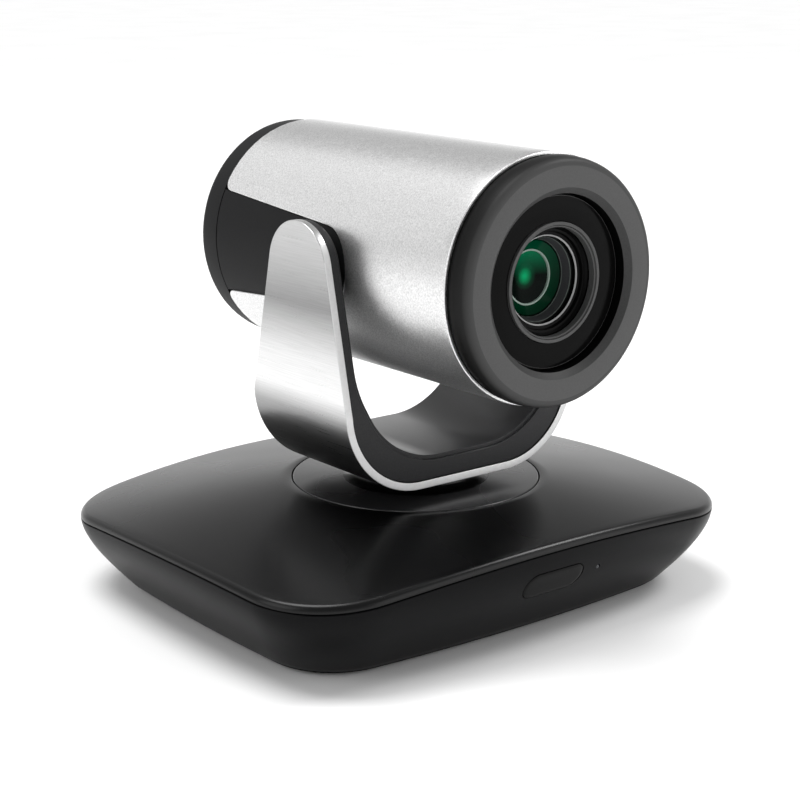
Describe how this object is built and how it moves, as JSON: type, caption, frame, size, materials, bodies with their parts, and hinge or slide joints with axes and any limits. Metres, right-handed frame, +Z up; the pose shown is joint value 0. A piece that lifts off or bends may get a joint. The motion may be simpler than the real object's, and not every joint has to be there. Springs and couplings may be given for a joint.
{
  "type": "ptz camera",
  "caption": "Desk-top pan-tilt-zoom conference camera: a silver barrel with a recessed lens, held in a U-shaped yoke on a low black base.",
  "frame": {"origin": "on the supporting surface, under the middle of the base's outline", "axes": "+X to the right seen from the front, the lens looks along -Y, +Z up"},
  "size_m": [0.15, 0.1306, 0.1216],
  "materials": {
    "black_shell": "satin black moulded plastic, lightly grained",
    "black_cover": "semi-gloss black moulded plastic",
    "dark_plastic": "matte dark grey moulded plastic",
    "bezel_grey": "satin grey moulded plastic",
    "disc_grey": "satin dark grey moulded plastic",
    "gloss_black": "polished black plastic",
    "silver_paint": "fine metallic silver finish",
    "brushed_band": "brushed aluminium",
    "steel": "plain steel",
    "black_steel": "black oxide steel",
    "brass": "turned brass",
    "rubber": "moulded rubber",
    "coated_glass": "green-coated optical glass",
    "board": "green circuit board",
    "white_plastic": "natural white acetal",
    "motor_steel": "plated steel can",
    "indicator": "translucent blue light pipe"
  },
  "bodies": {
    "base": {"base_lower_shell": "black_shell", "base_top_cover": "black_cover", "weight_plate": "steel", "tripod_bush": "brass", "ir_window": "gloss_black", "ir_receiver": "gloss_black", "ir_board": "board", "status_led": "indicator", "main_board": "board", "connector_panel": "dark_plastic", "power_jack": "dark_plastic", "control_port": "dark_plastic", "usb_port": "steel", "hdmi_port": "steel", "pan_chassis": "steel", "pan_motor": "motor_steel", "pan_bushing": "white_plastic", "foot_front_left": "rubber", "foot_front_right": "rubber", "foot_rear_left": "rubber", "foot_rear_right": "rubber", "screw_front_left": "steel", "screw_front_right": "steel", "screw_rear_left": "steel", "screw_rear_right": "steel"},
    "pan_pinion_gear": {"pan_pinion": "brass"},
    "pan_head": {"turntable": "disc_grey", "pan_gear": "white_plastic", "yoke_frame": "dark_plastic", "yoke_band": "brushed_band", "trunnion_left": "black_steel", "trunnion_right": "black_steel", "tilt_gear": "white_plastic"},
    "barrel": {"barrel_shell": "silver_paint", "barrel_housing": "dark_plastic", "side_panel_left": "dark_plastic", "side_panel_right": "dark_plastic", "rear_cap": "dark_plastic", "front_ring": "bezel_grey", "lens_plate": "gloss_black", "lens_trim_ring": "bezel_grey", "lens_barrel": "black_shell", "front_lens": "coated_glass", "guide_rod_left": "steel", "guide_rod_right": "steel", "zoom_motor": "motor_steel", "focus_motor": "motor_steel", "sensor_board": "board", "image_sensor": "gloss_black", "camera_board": "board", "tilt_motor": "motor_steel", "tilt_bearing_left": "white_plastic", "tilt_bearing_right": "white_plastic"},
    "tilt_pinion_gear": {"tilt_pinion": "brass"},
    "zoom_group": {"zoom_cell": "dark_plastic", "zoom_lens": "coated_glass"},
    "focus_group": {"focus_cell": "dark_plastic", "focus_lens": "coated_glass"},
    "zoom_lead_screw": {"zoom_screw": "steel"},
    "focus_lead_screw": {"focus_screw": "steel"}
  },
  "joints": [
    {"name": "pan", "type": "hinge", "parent": "base", "child": "pan_head", "pos_m": [0, -0.008, 0.0315], "axis": [0, 0, 1], "range_deg": [-170, 170]},
    {"name": "pan_pinion_turn", "type": "hinge", "parent": "base", "child": "pan_pinion_gear", "pos_m": [0, 0.022, 0.0232], "axis": [0, 0, 1], "range_deg": [-680, 680]},
    {"name": "tilt", "type": "hinge", "parent": "pan_head", "child": "barrel", "pos_m": [0, -0.008, 0.091], "axis": [-1, 0, 0], "range_deg": [-30, 30]},
    {"name": "tilt_pinion_turn", "type": "hinge", "parent": "barrel", "child": "tilt_pinion_gear", "pos_m": [0.021, 0.0085, 0.091], "axis": [-1, 0, 0], "range_deg": [-80, 80]},
    {"name": "zoom", "type": "slide", "parent": "barrel", "child": "zoom_group", "axis": [0, 1, 0], "range_m": [0, 0.012]},
    {"name": "zoom_screw_turn", "type": "hinge", "parent": "barrel", "child": "zoom_lead_screw", "pos_m": [0, -0.008, 0.1038], "axis": [0, 1, 0], "range_deg": [0, 1440]},
    {"name": "focus", "type": "slide", "parent": "barrel", "child": "focus_group", "axis": [0, -1, 0], "range_m": [0, 0.006]},
    {"name": "focus_screw_turn", "type": "hinge", "parent": "barrel", "child": "focus_lead_screw", "pos_m": [0, -0.008, 0.0782], "axis": [0, -1, 0], "range_deg": [0, 720]}
  ],
  "couplings": [
    {"joint": "pan_pinion_turn", "follows": "pan", "ratio": -4},
    {"joint": "tilt_pinion_turn", "follows": "tilt", "ratio": 2.6667},
    {"joint": "zoom_screw_turn", "follows": "zoom", "rad_per_m": 2094.4},
    {"joint": "focus_screw_turn", "follows": "focus", "rad_per_m": 2094.4}
  ]
}
